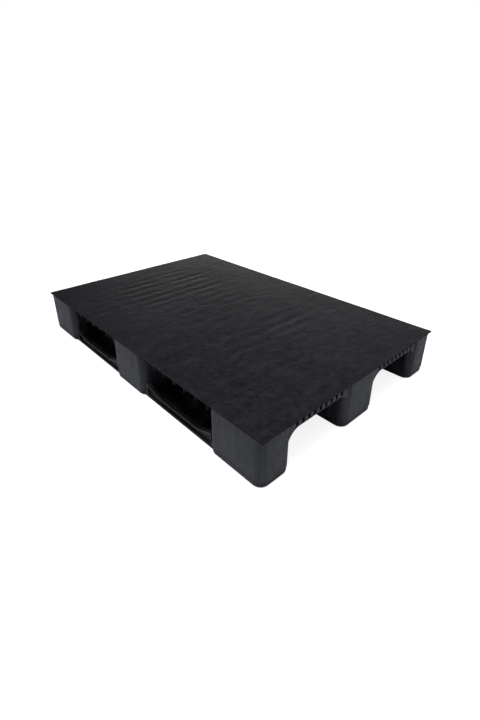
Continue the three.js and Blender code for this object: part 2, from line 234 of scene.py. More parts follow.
def rounded_outline(xs, ys, inset, radius):
    """A rectangle with round corners, counterclockwise, moved in by inset."""
    r = max(radius - inset, LEAST_RADIUS)
    x0, x1 = xs[0] + inset + r, xs[1] - inset - r
    y0, y1 = ys[0] + inset + r, ys[1] - inset - r
    outline = []
    for quarter, (cx, cy) in enumerate(((x1, y0), (x1, y1), (x0, y1), (x0, y0))):
        for step in range(CORNER_STEPS + 1):
            angle = (quarter - 1 + step / CORNER_STEPS) * math.pi / 2
            outline.append((cx + r * math.cos(angle), cy + r * math.sin(angle)))
    return outline


def rounded_prism(xs, ys, inset, z0, z1, radius=LEG_CORNER):
    outline = rounded_outline(xs, ys, inset, radius)
    return loft([[(x, y, z) for x, y in outline] for z in (z0, z1)])


def grid_body(margin, bottom=-PAST):
    """The block the grid fills, grown by margin. Its corners share their centres with the legs'."""
    x, y = GRID_X + margin, GRID_Y + margin
    radius = LEG_CORNER - (FACE_X - x)
    return rounded_prism((-x, x), (-y, y), 0, bottom, GRID_TOP + PAST, radius)


def circle(x, y, radius, z):
    angles = [2 * math.pi * i / ROUND_STEPS for i in range(ROUND_STEPS)]
    return [(x + radius * math.cos(a), y + radius * math.sin(a), z) for a in angles]


def cylinder(x, y, radius, z0, z1):
    return loft([circle(x, y, radius, z) for z in (z0, z1)])


def plate_across_x(outline, x0, x1):
    """An outline of (y, z) points as a plate between x0 and x1."""
    return with_outward_faces(loft([[(x, y, z) for y, z in outline] for x in (x0, x1)]))


def plate_along_x(outline, y0, y1):
    """An outline of (x, z) points as a plate between y0 and y1."""
    return with_outward_faces(loft([[(x, y, z) for x, z in outline] for y in (y1, y0)]))


def with_outward_faces(mesh):
    bm = bmesh.new()
    bm.from_mesh(mesh)
    bmesh.ops.recalc_face_normals(bm, faces=bm.faces)
    bm.to_mesh(mesh)
    bm.free()
    return mesh


def combined(base, other, operation):
    """The union, difference or intersection of two closed meshes, which are used up."""
    scene = bpy.context.scene.collection
    objects = [bpy.data.objects.new("operand", mesh) for mesh in (base, other)]
    for item in objects:
        scene.objects.link(item)
    modifier = objects[0].modifiers.new("boolean", "BOOLEAN")
    modifier.operation = operation
    modifier.solver = "MANIFOLD"
    modifier.object = objects[1]
    depsgraph = bpy.context.evaluated_depsgraph_get()
    result = bpy.data.meshes.new_from_object(objects[0].evaluated_get(depsgraph))
    for item in objects:
        bpy.data.objects.remove(item)
    bpy.data.meshes.remove(base)
    bpy.data.meshes.remove(other)
    return result


def added(base, *others):
    for other in others:
        base = combined(base, other, "UNION")
    return base


def cut(base, *others):
    for other in others:
        base = combined(base, other, "DIFFERENCE")
    return base


def smooth(mesh):
    mesh.polygons.foreach_set("use_smooth", [True] * len(mesh.polygons))
    mesh.set_sharp_from_angle(angle=SHARP)


def soften_edges(item, width):
    bevel = item.modifiers.new("soft_edges", "BEVEL")
    bevel.width = width * MM
    bevel.segments = 2
    bevel.limit_method = "ANGLE"
    bevel.angle_limit = SOFTENED
    bevel.harden_normals = False
    bevel.miter_outer = "MITER_ARC"


def piece(name, mesh, material, node, soft_edge=None, side_material=None):
    """Puts a finished mesh in the scene in place of its CAD node."""
    mesh.name = name
    item = bpy.data.objects.new(name, mesh)
    bpy.context.scene.collection.objects.link(item)
    mesh.materials.clear()
    mesh.materials.append(material)
    if side_material:
        mesh.materials.append(side_material)
        for polygon in mesh.polygons:
            upright = abs(polygon.normal.z) < UPRIGHT
            polygon.material_index = int(upright)
    if soft_edge:
        soften_edges(item, soft_edge)
    smooth(mesh)
    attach(item, "root")
    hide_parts(node)
    return item


# ---------------------------------------------------------------- materials

# Widths and depths are in metres here, and the scales of the noises are per metre.
WEAR_AND_GLINT_WIDTH = 0.0016        # width of the worn edges, which on the runners are also a painted highlight
MOTTLE_SHARE = 0.6         # how much of the blotches is fine mottling, and not large clouds
FLOW_ROUGHER = 1.15        # how much rougher the flow marks are than the roughest patches
GRAIN_DEPTH = 0.00012
UNEVEN_DEPTH = 0.0006
SCRATCH_STRETCH = (7, 420, 60)
TURNING_STRETCH = (900, 900, 9000)
TURNING_DEPTH = 0.00004
MIX_INPUTS = (0, 6, 7)     # a Mix node's sockets for the amount and two colours
MIX_OUTPUT = 2             # and for the colour it gives


def node_of(tree, kind, **values):
    item = tree.nodes.new(kind)
    for key, value in values.items():
        if key in item.inputs:
            item.inputs[key].default_value = value
        else:
            setattr(item, key, value)
    return item


def noise_node(tree, source, scale=1.0, detail=4.0, roughness=0.55, stretch=(1, 1, 1)):
    mapping = node_of(tree, "ShaderNodeMapping")
    mapping.inputs["Scale"].default_value = stretch
    tree.links.new(source, mapping.inputs["Vector"])
    item = node_of(tree, "ShaderNodeTexNoise", Scale=scale, Detail=detail, Roughness=roughness)
    tree.links.new(mapping.outputs[0], item.inputs["Vector"])
    return item.outputs["Fac"]


def ramp_node(tree, source, stops):
    item = node_of(tree, "ShaderNodeValToRGB")
    ramp = item.color_ramp
    while len(ramp.elements) < len(stops):
        ramp.elements.new(0.5)
    for element, (place, value) in zip(ramp.elements, stops):
        element.position = place
        element.color = (*value, 1) if isinstance(value, tuple) else (value, value, value, 1)
    tree.links.new(source, item.inputs["Fac"])
    return item.outputs["Color"]


def mix_node(tree, amount, a, b, blend="MIX"):
    item = node_of(tree, "ShaderNodeMix", data_type="RGBA", blend_type=blend)
    sockets = [item.inputs[i] for i in MIX_INPUTS]
    for socket, value in zip(sockets, (amount, a, b)):
        if isinstance(value, bpy.types.NodeSocket):
            tree.links.new(value, socket)
        elif isinstance(value, tuple):
            socket.default_value = (*value, 1)
        else:
            socket.default_value = value
    return item.outputs[MIX_OUTPUT]


def bump_node(tree, height, distance, strength, normal=None):
    item = node_of(tree, "ShaderNodeBump", Strength=strength, Distance=distance)
    tree.links.new(height, item.inputs["Height"])
    if normal is not None:
        tree.links.new(normal, item.inputs["Normal"])
    return item.outputs["Normal"]


def worn_and_glinting_edges(tree, source):
    """Bright where an edge is worn, and on the runners also a painted highlight: edges found by
    rounding, broken up by noise.
    """
    geometry = node_of(tree, "ShaderNodeNewGeometry")
    rounded = node_of(tree, "ShaderNodeBevel", samples=4, Radius=WEAR_AND_GLINT_WIDTH)
    dot = node_of(tree, "ShaderNodeVectorMath", operation="DOT_PRODUCT")
    tree.links.new(geometry.outputs["Normal"], dot.inputs[0])
    tree.links.new(rounded.outputs["Normal"], dot.inputs[1])
    edge = ramp_node(tree, dot.outputs["Value"], [(0.80, 1.0), (0.995, 0.0)])
    broken = noise_node(tree, source, scale=38, detail=6)
    patches = ramp_node(tree, broken, [(0.40, 0.0), (0.62, 1.0)])
    return mix_node(tree, 1.0, edge, patches, "MULTIPLY")


def mottled_colour(tree, source, dark, pale):
    """Large clouds with smaller mottling in them, between two colours."""
    large = noise_node(tree, source, scale=9, detail=5, roughness=0.6)
    small = noise_node(tree, source, scale=60, detail=6, roughness=0.6)
    clouds = ramp_node(tree, large, [(0.32, 0.0), (0.70, 1.0)])
    mottle = ramp_node(tree, small, [(0.36, 0.0), (0.64, 1.0)])
    return mix_node(tree, mix_node(tree, MOTTLE_SHARE, clouds, mottle), dark, pale)


def plastic_colour(tree, source, colours, flow_strength, edges):
    # worn is the colour of worn edges; in the runners' plastic it is bright enough to paint a
    # highlight on them as well.
    dark, pale, worn = colours
    faded = tuple((a + b) / 2 for a, b in zip(pale, worn))
    colour = mottled_colour(tree, source, dark, pale)
    colour = mix_node(tree, flow_strength, colour, faded)
    colour = mix_node(tree, edges, colour, worn)
    specks = noise_node(tree, source, scale=900, detail=2, roughness=0.5)
    flecks = ramp_node(tree, specks, [(0.70, 0.0), (0.76, 0.5)])
    return mix_node(tree, flecks, colour, worn)


def plastic_roughness(tree, source, rough, flow_strength, edges):
    """Patches between the two roughnesses, a little rougher in flow marks, smooth on worn edges."""
    low, high = rough
    patches = noise_node(tree, source, scale=42, detail=2, roughness=0.5)
    roughness = ramp_node(tree, patches, [(0.25, low), (0.75, high)])
    roughness = mix_node(tree, flow_strength, roughness, (high * FLOW_ROUGHER,) * 3)
    return mix_node(tree, edges, roughness, (low,) * 3)


def plastic_bumps(tree, source, flow, ripple, scratch):
    """Fine grain, soft unevenness, the flow marks and long thin scratches."""
    grain = noise_node(tree, source, scale=1500, detail=3, roughness=0.6)
    uneven = noise_node(tree, source, scale=24, detail=6, roughness=0.65)
    lines = noise_node(tree, source, detail=0, roughness=0.5, stretch=SCRATCH_STRETCH)
    scratches = ramp_node(tree, lines, [(0.78, 0.0), (0.84, 1.0)])
    normal = bump_node(tree, grain, GRAIN_DEPTH, strength=0.35)
    normal = bump_node(tree, uneven, UNEVEN_DEPTH, strength=0.35, normal=normal)
    normal = bump_node(tree, flow, ripple, strength=0.8, normal=normal)
    return bump_node(tree, scratches, scratch, strength=0.25, normal=normal)


def plastic(name, colours, rough, specular, streak, marks, ripple, scratch):
    """Black recycled plastic: mottled colour, flow marks, fine grain, scratches and worn edges, which
    on the runners are also a painted highlight.

    colours are the dark, the pale and the worn one, which for the runners is bright enough to be a
    painted highlight as well; rough is the lowest and highest roughness.
    streak stretches the flow marks, as a scale for X, Y and Z; marks is how strongly they show
    and ripple is their depth in metres. scratch is the depth of the scratches.
    """
    material = bpy.data.materials.new(name)
    material.use_nodes = True
    tree = material.node_tree
    shader = tree.nodes["Principled BSDF"]
    shader.inputs["Specular IOR Level"].default_value = specular
    source = node_of(tree, "ShaderNodeTexCoord").outputs["Object"]
    flow = noise_node(tree, source, detail=5, roughness=0.6, stretch=streak)
    flow_marks = ramp_node(tree, flow, [(0.46, 0.0), (0.66, 1.0)])
    flow_strength = mix_node(tree, 1.0, flow_marks, (marks,) * 3, "MULTIPLY")
    edges = worn_and_glinting_edges(tree, source)
    colour = plastic_colour(tree, source, colours, flow_strength, edges)
    roughness = plastic_roughness(tree, source, rough, flow_strength, edges)
    normal = plastic_bumps(tree, source, flow, ripple, scratch)
    tree.links.new(colour, shader.inputs["Base Color"])
    tree.links.new(roughness, shader.inputs["Roughness"])
    tree.links.new(normal, shader.inputs["Normal"])
    return material


def zinc():
    """Zinc-plated steel: a dull grey with turning marks and darker spots."""
    material = bpy.data.materials.new("zinc_plated_steel")
    material.use_nodes = True
    tree = material.node_tree
    shader = tree.nodes["Principled BSDF"]
    shader.inputs["Metallic"].default_value = 1.0
    source = node_of(tree, "ShaderNodeTexCoord").outputs["Object"]
    spots = noise_node(tree, source, scale=260, detail=5, roughness=0.6)
    colour = ramp_node(tree, spots, [(0.30, (0.26, 0.25, 0.23)), (0.65, (0.52, 0.53, 0.54))])
    tree.links.new(colour, shader.inputs["Base Color"])
    roughness = ramp_node(tree, spots, [(0.35, 0.55), (0.70, 0.30)])
    tree.links.new(roughness, shader.inputs["Roughness"])
    marks = noise_node(tree, source, detail=2, roughness=0.5, stretch=TURNING_STRETCH)
    normal = bump_node(tree, marks, TURNING_DEPTH, strength=0.4)
    tree.links.new(normal, shader.inputs["Normal"])
    return material


SHEET_PLASTIC = plastic(
    "sheet_plastic",
    colours=((0.0044, 0.0048, 0.0065), (0.0156, 0.0162, 0.0196), (0.030, 0.031, 0.037)),
    rough=(0.285, 0.40), specular=0.27, streak=(34, 18, 34), marks=0.35, ripple=0.0020,
    scratch=0.00004)
SAWN_PLASTIC = plastic(
    "sawn_plastic",
    colours=((0.0070, 0.0072, 0.0080), (0.0140, 0.0143, 0.0160), (0.030, 0.031, 0.034)),
    rough=(0.70, 0.85), specular=0.12, streak=(160, 160, 700), marks=0.5, ripple=0.0004,
    scratch=0.0001)
MOULDED_PLASTIC = plastic(
    "moulded_plastic",
    colours=((0.0020, 0.0024, 0.0032), (0.0060, 0.0069, 0.0086), (0.066, 0.071, 0.082)),
    rough=(0.29, 0.44), specular=0.46, streak=(58, 58, 5), marks=0.85, ripple=0.0020,
    scratch=0.0001)
# Its worn colour is far brighter than the other plastics': besides wear, it paints a highlight along
# the straps' lips and ramps.
RUNNER_PLASTIC = plastic(
    "runner_plastic",
    colours=((0.0018, 0.0020, 0.0026), (0.0042, 0.0046, 0.0056), (0.110, 0.115, 0.125)),
    rough=(0.29, 0.46), specular=0.48, streak=(8, 46, 30), marks=0.25, ripple=0.0010,
    scratch=0.0001)
ZINC = zinc()

# ---------------------------------------------------------------- top sheet


def sway(x, y, size_x, size_y, seed):
    """Smooth noise between about -1 and 1, whose swells have the given sizes in mm."""
    return noise.noise(Vector((x / size_x, y / size_y, seed)))


def layered(x, y, layers):
    return sum(height * sway(x, y, *swell) for height, *swell in layers)


def ripple_height(x, y):
    """How far the sheet's face lies over its highest level, in mm (never above 0), at a point.

    The sheet sags between the cross ribs it is welded to, most in two zones along its length
    and in the panels beside the middle rib, and it is faintly uneven all over.
    """
    shifted = x + layered(x, y, SAG_SHIFTS)
    sag = math.sin(math.pi * (shifted + RIB_SPAN / 2) / RIB_PITCH) ** 2
    zones = sum(weight * math.exp(-((x - middle) / SAG_REACH) ** 2) for middle, weight in SAG_ZONES)
    panel = math.sqrt(abs(math.sin(math.pi * min(abs(y), PANEL) / PANEL)))
    patches = max(LEAST_SAG, USUAL_SAG + layered(x, y, SAG_PATCHES))
    strength = (SAG_OUTSIDE_ZONES + zones) * (SAG_OUTSIDE_PANELS + panel) * patches
    height = layered(x, y, UNEVENNESS) - SAG * sag * strength - LEVEL
    return max(-DEEPEST, min(0.0, height))


def outward(step, steps):
    """-1 for the first of a row of points, 1 for the last and 0 for those between."""
    return (step == steps) - (step == 0)


def edge_ring(rim, out, level_of):
    """A ring of points outside the face's rim, out times the rounding of the sheet's edge."""
    reach = SHEET_EDGE * out
    return [(x + side_x * reach, y + side_y * reach, level_of(z))
            for (x, y, z), (side_x, side_y) in rim]


def rippled_face(nx, ny):
    """The points and faces of the sheet's top face, in rows along X."""
    inner_x, inner_y = LENGTH / 2 - SHEET_EDGE, WIDTH / 2 - SHEET_EDGE
    points, faces = [], []
    for j in range(ny + 1):
        for i in range(nx + 1):
            x = -inner_x + 2 * inner_x * i / nx
            y = -inner_y + 2 * inner_y * j / ny
            points.append((x, y, HEIGHT + ripple_height(x, y)))
    for j in range(ny):
        for i in range(nx):
            first = j * (nx + 1) + i
            faces.append((first, first + 1, first + nx + 2, first + nx + 1))
    return points, faces


def sheet_mesh():
    """A closed plate whose top face ripples; its edges are rounded and its corners are square."""
    nx, ny = LENGTH // SHEET_CELL, WIDTH // SHEET_CELL
    points, faces = rippled_face(nx, ny)
    border = [(i, 0) for i in range(nx)] + [(nx, j) for j in range(ny)]
    border += [(i, ny) for i in range(nx, 0, -1)] + [(0, j) for j in range(ny, 0, -1)]
    ring = [j * (nx + 1) + i for i, j in border]
    rim = [(points[k], (outward(i, nx), outward(j, ny))) for k, (i, j) in zip(ring, border)]
    bottom = HEIGHT - SHEET
    rings = [edge_ring(rim, out, lambda z: z - drop) for out, drop in EDGE_RINGS]
    rings.append(edge_ring(rim, 1.0, lambda z: bottom + SHEET_EDGE))
    rings.append(edge_ring(rim, UNDERSIDE_OUT, lambda z: bottom))
    count = len(ring)
    for new_points in rings:
        new_ring = list(range(len(points), len(points) + count))
        points += new_points
        faces += [(new_ring[k], new_ring[(k + 1) % count], ring[(k + 1) % count], ring[k])
                  for k in range(count)]
        ring = new_ring
    faces.append(tuple(reversed(ring)))
    return mesh_from(points, faces)


# ---------------------------------------------------------------- ribbed grid


def rib_lines():
    """Ribs along Y as (x0, x1, reach, bottom) and ribs along X as (y0, y1, bottom)."""
    across = []
    for i in range(1, CELLS_ALONG):
        x = i * RIB_PITCH - RIB_SPAN / 2
        over_opening = MIDDLE_LEG / 2 < abs(x) < COLUMNS["front"][0]
        reach = COMB if over_opening else GRID_Y
        across.append((x - CROSS_RIB / 2, x + CROSS_RIB / 2, reach, GRID_BOTTOM))
    for side in (-1, 1):
        ends = sorted((side * (GRID_X - END_WALL), side * GRID_X))
        across.append((*ends, GRID_Y, GRID_BOTTOM))
    along = []
    for y in (0, CENTRE_LEG / 2, FACE_Y - SIDE_LEG, SIDE_RIM - LONG_RIB / 2):
        for side in ((1, -1) if y else (1,)):
            along.append((side * y - LONG_RIB / 2, side * y + LONG_RIB / 2, GRID_BOTTOM))
    over_legs = (FACE_Y - 2 * SIDE_LEG / 3, FACE_Y - SIDE_LEG / 3 - RIM_SHIFT,
                 CENTRE_LEG / 3, CENTRE_LEG / 6)
    for bay in (-1, 1):
        for i in range(SLOTS - 1):
            y = bay * BAY_Y + (i - (SLOTS - 2) / 2) * SLOT_PITCH
            along.append((y - THIN_RIB / 2, y + THIN_RIB / 2, SHALLOW_BOTTOM))
        for y in over_legs:
            along.append((bay * y - THIN_RIB / 2, bay * y + THIN_RIB / 2, SHALLOW_BOTTOM))
    return across, along


def cell_solid(xs, ys, zs, filled):
    """The outer faces of the filled cells of a box lattice."""
    index, points, faces = {}, [], []

    def corner(i, j, k):
        if (i, j, k) not in index:
            index[i, j, k] = len(points)
            points.append((xs[i], ys[j], zs[k]))
        return index[i, j, k]

    sides = [
        ((-1, 0, 0), ((0, 0, 0), (0, 0, 1), (0, 1, 1), (0, 1, 0))),
        ((1, 0, 0), ((1, 0, 0), (1, 1, 0), (1, 1, 1), (1, 0, 1))),
        ((0, -1, 0), ((0, 0, 0), (1, 0, 0), (1, 0, 1), (0, 0, 1))),
        ((0, 1, 0), ((0, 1, 0), (0, 1, 1), (1, 1, 1), (1, 1, 0))),
        ((0, 0, -1), ((0, 0, 0), (0, 1, 0), (1, 1, 0), (1, 0, 0))),
        ((0, 0, 1), ((0, 0, 1), (1, 0, 1), (1, 1, 1), (0, 1, 1))),
    ]
    for i, j, k in filled:
        for (di, dj, dk), corners in sides:
            if (i + di, j + dj, k + dk) not in filled:
                faces.append([corner(i + a, j + b, k + c) for a, b, c in corners])
    return mesh_from(points, faces)


def haunch_outline(side, bay):
    """One haunch in (y, z): the filled corner between an end beam and a leg."""
    centre = bay * BAY_Y + side * HAUNCH_CENTRE
    low = GRID_BOTTOM - HAUNCH
    hidden = centre + side * (HAUNCH + LEG_CORNER / 2)
    outline = [(hidden, GRID_BOTTOM + PAST), (centre, GRID_BOTTOM + PAST)]
    for step in range(ARCH_STEPS + 1):
        angle = math.pi / 2 * (1 - step / ARCH_STEPS)
        outline.append((centre + side * HAUNCH * math.cos(angle), low + HAUNCH * math.sin(angle)))
    outline.append((hidden, low))
    return outline


def taper_comb(grid):
    """Tapers the free ends of the cross ribs over the openings."""
    for vertex in grid.vertices:
        x, y = vertex.co.x / MM, vertex.co.y / MM
        if abs(abs(y) - COMB) < TINY:
            middle = round((x + RIB_SPAN / 2) / RIB_PITCH) * RIB_PITCH - RIB_SPAN / 2
            vertex.co.x = (middle + (x - middle) * COMB_END / CROSS_RIB) * MM
    return grid


def rib_lattice():
    """The deep and the shallow ribs, as one solid on a box lattice."""
    across, along = rib_lines()
    xs = sorted({edge for x0, x1, _, _ in across for edge in (x0, x1)})
    ys = sorted({edge for y0, y1, _ in along for edge in (y0, y1)}
                | {-GRID_Y, GRID_Y, -COMB, COMB})
    zs = [GRID_BOTTOM, SHALLOW_BOTTOM, GRID_TOP]
    filled = set()
    for i in range(len(xs) - 1):
        x = (xs[i] + xs[i + 1]) / 2
        for j in range(len(ys) - 1):
            y = (ys[j] + ys[j + 1]) / 2
            bottoms = [low for x0, x1, reach, low in across if x0 < x < x1 and abs(y) < reach]
            bottoms += [low for y0, y1, low in along if y0 < y < y1]
            if bottoms:
                filled.add((i, j, 1))
            if GRID_BOTTOM in bottoms:
                filled.add((i, j, 0))
    return cell_solid(xs, ys, zs, filled)


def with_haunches(grid):
    for end in (-1, 1):
        x0, x1 = sorted((end * (GRID_X - HAUNCH_PLATE), end * GRID_X))
        for bay in (-1, 1):
            for side in (-1, 1):
                grid = added(grid, plate_across_x(haunch_outline(side, bay), x0, x1))
    return grid


def with_slotted_beams(grid):
    """Adds the thick end beams over the openings, with a row of blind slots in each."""
    slots = []
    half = SLOTS * SLOT_PITCH / 2
    for end in (-1, 1):
        beam_xs = sorted((end * (GRID_X - END_BEAM), end * GRID_X))
        slot_xs = sorted((end * (GRID_X - SLOT_DEPTH), end * (GRID_X + PAST)))
        for bay in (-1, 1):
            beam_ys = (bay * BAY_Y - half, bay * BAY_Y + half)
            grid = added(grid, box(*beam_xs, *beam_ys, GRID_BOTTOM, GRID_TOP))
            for i in range(SLOTS):
                y = bay * BAY_Y + (i - (SLOTS - 1) / 2) * SLOT_PITCH
                slot_ys = (y - SLOT_WIDTH / 2, y + SLOT_WIDTH / 2)
                slots.append(box(*slot_xs, *slot_ys, GRID_BOTTOM + SLOT_SILL, HEIGHT - SLOT_DROP))
    return cut(grid, joined(slots))


def grid_mesh():
    grid = with_haunches(taper_comb(rib_lattice()))
    leg_room = []
    for column in ("rear", "front"):
        for ys in ROWS.values():
            leg_room.append(rounded_prism(COLUMNS[column], ys, -FIT, -PAST, GRID_BOTTOM))
    grid = cut(combined(grid, grid_body(0), "INTERSECT"), joined(leg_room))
    return with_slotted_beams(grid)


# ---------------------------------------------------------------- legs


def screw_places(xs, ys):
    x, y = sum(xs) / 2, sum(ys) / 2
    return [(x - SCREW_SPACING / 2, y), (x + SCREW_SPACING / 2, y)]


def rib_cross(xs, ys, inset, z0, z1):
    """Two upright ribs that cross in the middle of a box, as two meshes."""
    x, y = sum(xs) / 2, sum(ys) / 2
    half = LEG_RIB / 2
    return (box(xs[0] + inset, xs[1] - inset, y - half, y + half, z0, z1),
            box(x - half, x + half, ys[0] + inset, ys[1] - inset, z0, z1))


def open_corners(xs):
    """The room for a leg's rounded corners beside the openings, which run up to the sheet."""
    corners = []
    for end, inward in ((xs[0], 1), (xs[1], -1)):
        if abs(end) > GRID_X:
            continue
        x0, x1 = sorted((end - inward * PAST, end + inward * LEG_CORNER))
        for side in (-1, 1):
            y0, y1 = sorted((side * (SIDE_RIM + FIT), side * WIDTH / 2))
            corners.append(box(x0, x1, y0, y1, 0, HEIGHT))
    return joined(corners)


def leg_mesh(xs, ys):
    """A hollow leg whose outer faces run up to the sheet and whose other walls stop under the grid."""
    wall_top = GRID_BOTTOM - FIT
    rings = [(LEG_SOFT, LEG_BOTTOM), (LEG_SOFT_HALFWAY, LEG_BOTTOM + LEG_SOFT_HALFWAY),
             (0, LEG_BOTTOM + LEG_SOFT), (0, GRID_TOP)]
    outer = loft([[(x, y, z) for x, y in rounded_outline(xs, ys, inset, LEG_CORNER)]
                  for inset, z in rings])
    cavity = rounded_prism(xs, ys, LEG_WALL, LEG_BOTTOM + LEG_WALL, GRID_TOP + PAST)
    room = cut(grid_body(FIT, wall_top), open_corners(xs))
    reach = LEG_WALL / 2
    leg = cut(outer, cavity, room)
    leg = added(leg, *rib_cross(xs, ys, reach, LEG_BOTTOM + reach, wall_top))
    for px, py in screw_places(xs, ys):
        leg = added(leg, cylinder(px, py, BOSS, LEG_BOTTOM + reach, BOSS_TOP))
        leg = cut(leg, cylinder(px, py, SCREW_SHANK + FIT, 0, SCREW_SEAT + SCREW_LENGTH + FIT))
    return leg


# ---------------------------------------------------------------- runners


def pad_mesh(xs, ys):
    """A ribbed tray with a rounded lower edge."""
    xs_pad = (xs[0] + PAD_INSET, xs[1] - PAD_INSET)
    rings = []
    for step in range(PAD_STEPS + 1):
        angle = math.pi / 2 * step / PAD_STEPS
        rings.append((PAD_ROUND * (1 - math.sin(angle)), PAD_ROUND * (1 - math.cos(angle))))
    rings.append((0, PAD - PAD_CHAMFER))
    rings.append((PAD_CHAMFER, PAD))
    body = loft([[(x, y, z) for x, y in rounded_outline(xs_pad, ys, inset, LEG_CORNER)]
                 for inset, z in rings])
    pocket = rounded_prism(xs_pad, ys, SHELL + PAD_ROUND / 2, SHELL, PAD + PAST)
    pad = cut(body, pocket)
    top = PAD - PAD_GAP
    pad = added(pad, *rib_cross(xs_pad, ys, SHELL + PAST, SHELL / 2, top))
    for px, py in screw_places(xs, ys):
        pad = added(pad, cylinder(px, py, BOSS, SHELL / 2, top - PAD_GAP))
    return pad


def ramp_edge(xa, xb, end_z, middle_z):
    """The line of a strap's top edge in (x, z), from xb to xa, with rounded feet to its ramps."""
    foot, head = RAMP * (1 + RAMP_EASE), RAMP * (1 - RAMP_EASE)
    slope_z = middle_z + (end_z - middle_z) * RAMP_EASE
    half = [(xb, end_z)]
    for step in range(RAMP_STEPS + 1):
        t = step / RAMP_STEPS
        a, b, c = (1 - t) ** 2, 2 * t * (1 - t), t * t
        half.append((xb - a * head - b * RAMP - c * foot, a * slope_z + (b + c) * middle_z))
    return half + [(xa + xb - x, z) for x, z in reversed(half)]


def strap_wall(xa, xb):
    """A strap's side wall in (x, z), with ramps up to the legs at its two ends."""
    under = PAD_INSET + LEG_CORNER / 2
    top = ramp_edge(xa, xb, RAMP_TOP, STRAP)
    return [(xa - under, 0), (xb + under, 0), (xb + under, PAD), (xb, PAD), *top,
            (xa, PAD), (xa - under, PAD)]


def strap_groove(xa, xb):
    """The groove in a strap's side, between its foot and the lip that follows its top edge."""
    high = ramp_edge(xa, xb, RAMP_TOP - STRAP_LIP, STRAP - STRAP_LIP)
    high[0] = (xb - GROOVE_END, high[0][1] - GROOVE_END)
    high[-1] = (xa + GROOVE_END, high[-1][1] - GROOVE_END)
    return [(xa + GROOVE_END, STRAP_FOOT), (xb - GROOVE_END, STRAP_FOOT), *high]


def strap_mesh(xa, xb, ys):
    left, right = ys[0] + STRAP_INSET, ys[1] - STRAP_INSET
    wall = strap_wall(xa + FIT, xb - FIT)
    under = PAD_INSET + SHELL / 2
    strap = plate_along_x(wall, left, left + STRAP_SIDE)
    strap = added(strap, box(xa - under, xb + under, left + SHELL / 2, right - SHELL / 2, 0, SHELL))
    strap = added(strap, plate_along_x(wall, right - STRAP_SIDE, right))
    pitch = (xb - xa) / (STRAP_RIBS + 1)
    for i in range(1, STRAP_RIBS + 1):
        x = xa + i * pitch
        rib_xs = (x - STRAP_RIB / 2, x + STRAP_RIB / 2)
        rib_ys = (left + STRAP_SIDE - PAST, right - STRAP_SIDE + PAST)
        strap = added(strap, box(*rib_xs, *rib_ys, SHELL - OVERLAP, STRAP_RIB_TOP))
    groove = strap_groove(xa, xb)
    return cut(strap, plate_along_x(groove, left - PAST, left + GROOVE),
               plate_along_x(groove, right - GROOVE, right + PAST))


def runner_mesh(ys):
    pads = [pad_mesh(xs, ys) for xs in COLUMNS.values()]
    straps = [strap_mesh(COLUMNS["rear"][1], COLUMNS["middle"][0], ys),
              strap_mesh(COLUMNS["middle"][1], COLUMNS["front"][0], ys)]
    runner = added(*pads, *straps)
    for xs in COLUMNS.values():
        for px, py in screw_places(xs, ys):
            runner = cut(runner, cylinder(px, py, SCREW_HEAD + 2 * FIT, -PAST, SCREW_SEAT))
            runner = cut(runner, cylinder(px, py, SCREW_SHANK + FIT, -PAST, PAD + PAST))
    return runner


# ---------------------------------------------------------------- screws


def screw_profile():
    """(radius, height) pairs from the middle of the head's face to the point."""
    seat = SCREW_SEAT - FIT
    top = seat + SCREW_LENGTH - FIT
    profile = [(radius, SCREW_RECESS + depth) for radius, depth in SCREW_DOME]
    profile += [(SCREW_HEAD, seat - SCREW_CHAMFER), (SCREW_HEAD - SCREW_CHAMFER, seat)]
    profile += [(SCREW_NECK, seat), (SCREW_NECK - SCREW_CHAMFER, seat + NECK_LENGTH)]
    z = seat + THREAD_START
    while z < top - THREAD_END:
        crest = (SCREW_SHANK - THREAD_PLAY, z + SCREW_PITCH / 4)
        profile += [(SCREW_CORE, z), crest, (SCREW_CORE, z + SCREW_PITCH / 2)]
        z += SCREW_PITCH
    return profile + [(SCREW_CORE, top - SCREW_POINT), (SCREW_TIP, top - THREAD_PLAY)]


def screw_mesh():
    """A self-tapping screw standing on its head at the origin, with a cross recess and a thread."""
    body = loft([circle(0, 0, radius, z) for radius, z in screw_profile()])
    long, wide = CROSS_REACH, CROSS_HALF
    recess = added(box(-long, long, -wide, wide, -PAST, CROSS_TOP),
                   box(-wide, wide, -long, long, -PAST, CROSS_TOP))
    return cut(body, recess)


def screwed_in(shape, place, turn):
    """A copy of the screw at a place in mm, turned about its own length."""
    moved = shape.copy()
    shift = Matrix.Translation((place[0] * MM, place[1] * MM, 0))
    moved.transform(shift @ Matrix.Rotation(turn, 4, "Z"))
    return moved


# ---------------------------------------------------------------- assembly

piece("sheet_rippled", sheet_mesh(), SHEET_PLASTIC, "deck_sheet",
      side_material=SAWN_PLASTIC)
piece("grid_ribbed", grid_mesh(), MOULDED_PLASTIC, "deck_grid")
for row, ys in ROWS.items():
    piece(f"runner_{row}_moulded", runner_mesh(ys), RUNNER_PLASTIC, f"runner_{row}",
          SOFT_EDGE)
    for column, xs in COLUMNS.items():
        piece(f"leg_{column}_{row}_moulded", leg_mesh(xs, ys), MOULDED_PLASTIC,
              f"leg_{column}_{row}", SOFT_EDGE)

turns = random.Random(SCREW_SEED)
screw_shape = screw_mesh()
for row, ys in ROWS.items():
    for column, xs in COLUMNS.items():
        for number, place in enumerate(screw_places(xs, ys), 1):
            node = f"screw_{column}_{row}_{number}"
            screw = screwed_in(screw_shape, place, turns.uniform(0, math.pi))
            piece(f"{node}_zinc", screw, ZINC, node)
bpy.data.meshes.remove(screw_shape)

# ---------------------------------------------------------------- floor, light and camera

